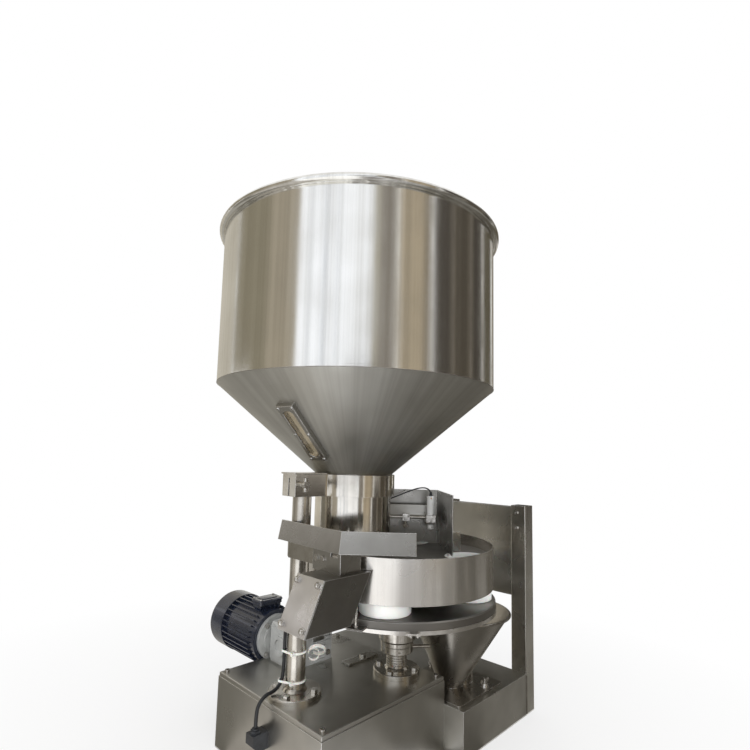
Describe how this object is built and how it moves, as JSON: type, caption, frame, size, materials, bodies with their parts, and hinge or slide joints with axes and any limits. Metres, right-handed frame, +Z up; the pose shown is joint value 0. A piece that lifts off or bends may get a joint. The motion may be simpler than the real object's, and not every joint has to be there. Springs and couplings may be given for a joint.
{
  "type": "volumetric cup filler",
  "caption": "Bulk hopper on a column feeding a belt-driven turntable of telescoping measuring cups that drop portions into an angled discharge funnel.",
  "frame": {"origin": "centre of the four base bolt holes, on the underside of the base housing", "axes": "+Z up along the machine's height, +X from the base towards the discharge deck, +Y towards the drive motor"},
  "size_m": [0.7715, 0.703, 1.093],
  "materials": {
    "hopper_steel": "brushed stainless steel",
    "bright_steel": "polished stainless steel",
    "plate_steel": "satin stainless plate",
    "sheet_steel": "satin stainless sheet",
    "fastener_steel": "bright stainless fasteners",
    "cup_plastic": "white machined plastic",
    "cast_grey": "light grey painted casting",
    "motor_black": "black painted castings and sheet",
    "belt_rubber": "black rubber",
    "cable_black": "black cable sheath",
    "tie_white": "white nylon",
    "gland_plastic": "dark grey plastic",
    "sensor_white": "white plastic body",
    "bush_bronze": "bronze",
    "pulley_aluminium": "machined aluminium",
    "window_glass": "clear window"
  },
  "bodies": {
    "frame": {"base_housing": "sheet_steel", "base_top_plate": "plate_steel", "socket_screws": "fastener_steel", "slot_bar": "plate_steel", "hex_bolts_m8": "fastener_steel", "hex_bolts_m6": "fastener_steel", "deck": "sheet_steel", "frame_posts": "sheet_steel", "cross_panels": "sheet_steel", "discharge_funnel": "hopper_steel", "wing_nuts": "fastener_steel", "hopper_column": "bright_steel", "guard_skirt": "sheet_steel", "guard_bracket": "sheet_steel", "guard_collar": "plate_steel", "junction_box": "sheet_steel", "box_cover": "sheet_steel", "cover_nuts": "fastener_steel", "column_cable": "cable_black", "cable_ties": "tie_white", "cable_glands": "gland_plastic", "shaft_support": "plate_steel", "shaft_bushes": "bush_bronze", "drive_belt": "belt_rubber", "gearbox_body": "cast_grey", "motor_flange": "cast_grey", "motor_body": "motor_black", "terminal_box": "motor_black", "fan_cowl": "motor_black", "scraper_box": "sheet_steel", "scraper_blade": "sheet_steel", "scraper_arm": "plate_steel", "sensor_rail": "sheet_steel", "sensor_rod": "bright_steel", "rod_clamps": "plate_steel", "thumb_screws": "fastener_steel", "level_sensor": "sensor_white", "sensor_cable": "cable_black"},
    "turntable": {"turntable_plate": "plate_steel", "turntable_ring": "sheet_steel", "turntable_hub": "plate_steel", "turntable_shaft": "plate_steel", "hub_fasteners": "fastener_steel", "upper_cups": "cup_plastic", "driven_pulley": "pulley_aluminium"},
    "cups": {"lower_cups": "cup_plastic"},
    "tray": {"bottom_tray": "plate_steel", "tray_fasteners": "fastener_steel", "tray_carrier": "plate_steel", "tray_hoop": "bright_steel"},
    "collar": {"adjusting_collar": "plate_steel"},
    "drive_output": {"drive_pulley": "pulley_aluminium"},
    "motor_rotor": {"motor_fan": "motor_black"},
    "hopper": {"hopper_shell": "hopper_steel", "hopper_cone": "hopper_steel", "hopper_neck": "bright_steel", "sight_frame": "bright_steel", "sight_glass": "window_glass", "neck_clamp": "bright_steel"},
    "lock_bolt": {"clamp_bolt": "fastener_steel"}
  },
  "joints": [
    {"name": "turntable_spin", "type": "hinge", "parent": "frame", "child": "turntable", "pos_m": [0.111, -0.085, 0.2], "axis": [0, 0, 1], "continuous": true},
    {"name": "cups_slide", "type": "slide", "parent": "turntable", "child": "cups", "axis": [0, 0, 1], "range_m": [-0.0081, 0.0081]},
    {"name": "tray_height", "type": "slide", "parent": "frame", "child": "tray", "axis": [0, 0, 1], "range_m": [-0.008, 0.008]},
    {"name": "collar_turn", "type": "hinge", "parent": "tray", "child": "collar", "pos_m": [0.111, -0.085, 0.2025], "axis": [0, 0, 1], "range_deg": [-724, 724]},
    {"name": "drive_output_spin", "type": "hinge", "parent": "frame", "child": "drive_output", "pos_m": [0.012, 0.112, 0.15], "axis": [0, 0, 1], "continuous": true},
    {"name": "motor_spin", "type": "hinge", "parent": "frame", "child": "motor_rotor", "pos_m": [-0.028, 0.3, 0.19], "axis": [0, 1, 0], "continuous": true},
    {"name": "hopper_lift", "type": "slide", "parent": "frame", "child": "hopper", "axis": [0, 0, 1], "range_m": [0, 0.03]},
    {"name": "lock_bolt_turn", "type": "hinge", "parent": "hopper", "child": "lock_bolt", "pos_m": [-0.13441, -0.0129, 0.555], "axis": [-0.1037, -0.9946, 0], "range_deg": [0, 360]}
  ],
  "couplings": [
    {"joint": "collar_turn", "follows": "tray_height", "rad_per_m": 1570.8},
    {"joint": "cups_slide", "follows": "tray_height", "ratio": 1},
    {"joint": "drive_output_spin", "follows": "turntable_spin", "ratio": 1},
    {"joint": "motor_spin", "follows": "turntable_spin", "ratio": 30}
  ]
}
